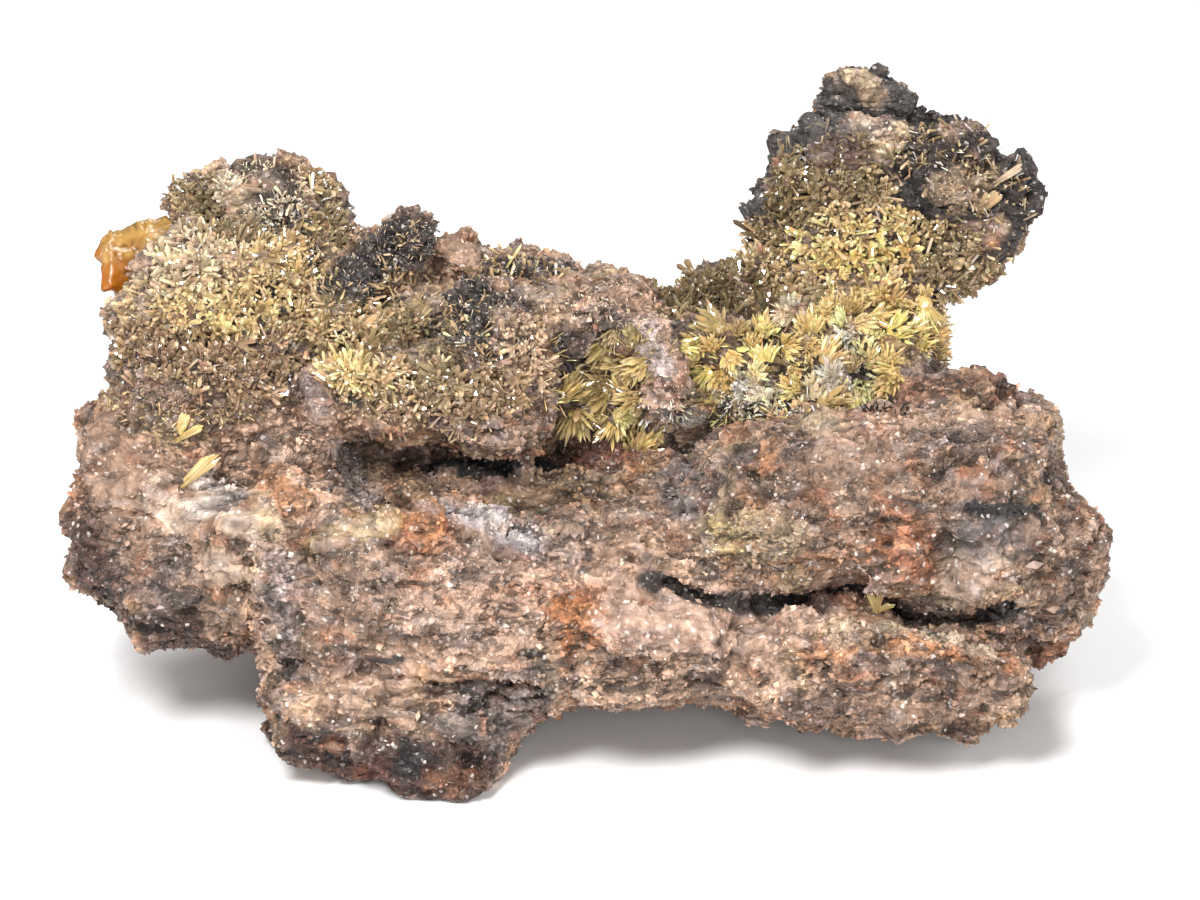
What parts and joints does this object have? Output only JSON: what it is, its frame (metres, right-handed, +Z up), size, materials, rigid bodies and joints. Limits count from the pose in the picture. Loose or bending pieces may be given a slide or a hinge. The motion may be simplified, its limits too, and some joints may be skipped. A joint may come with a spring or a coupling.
{
  "type": "mimetite specimen",
  "caption": "Mineral specimen: yellow mimetite needle crystals and an amber wulfenite group on a ledged, iron-stained rock with a raised crest and a leaning horn.",
  "frame": {"origin": "middle of the specimen's bounding box, at the level it rests on", "axes": "+Z up as displayed, +X to the viewer's right with the crest on the left and the horn on the right, -Y towards the viewer"},
  "size_m": [0.105, 0.0606, 0.0597],
  "materials": {
    "matrix": "matt, granular, brown and pink with black oxide and white quartz patches",
    "mimetite": "vitreous, translucent olive-yellow needles",
    "mimetite_bright": "vitreous, translucent bright yellow crystals",
    "mimetite_pale": "dull, opaque tan crystal",
    "wulfenite": "resinous, translucent amber"
  },
  "bodies": {
    "root": {"matrix": "matrix", "mimetite_left_crest": "mimetite", "mimetite_middle_crest": "mimetite", "mimetite_pocket": "mimetite_bright", "mimetite_saddle": "mimetite_bright", "mimetite_horn": "mimetite", "mimetite_blade": "mimetite_bright", "mimetite_ledge_spray": "mimetite_bright", "mimetite_crack_spray": "mimetite", "mimetite_horn_blade": "mimetite", "mimetite_horn_stick": "mimetite_pale", "wulfenite": "wulfenite"}
  },
  "joints": []
}
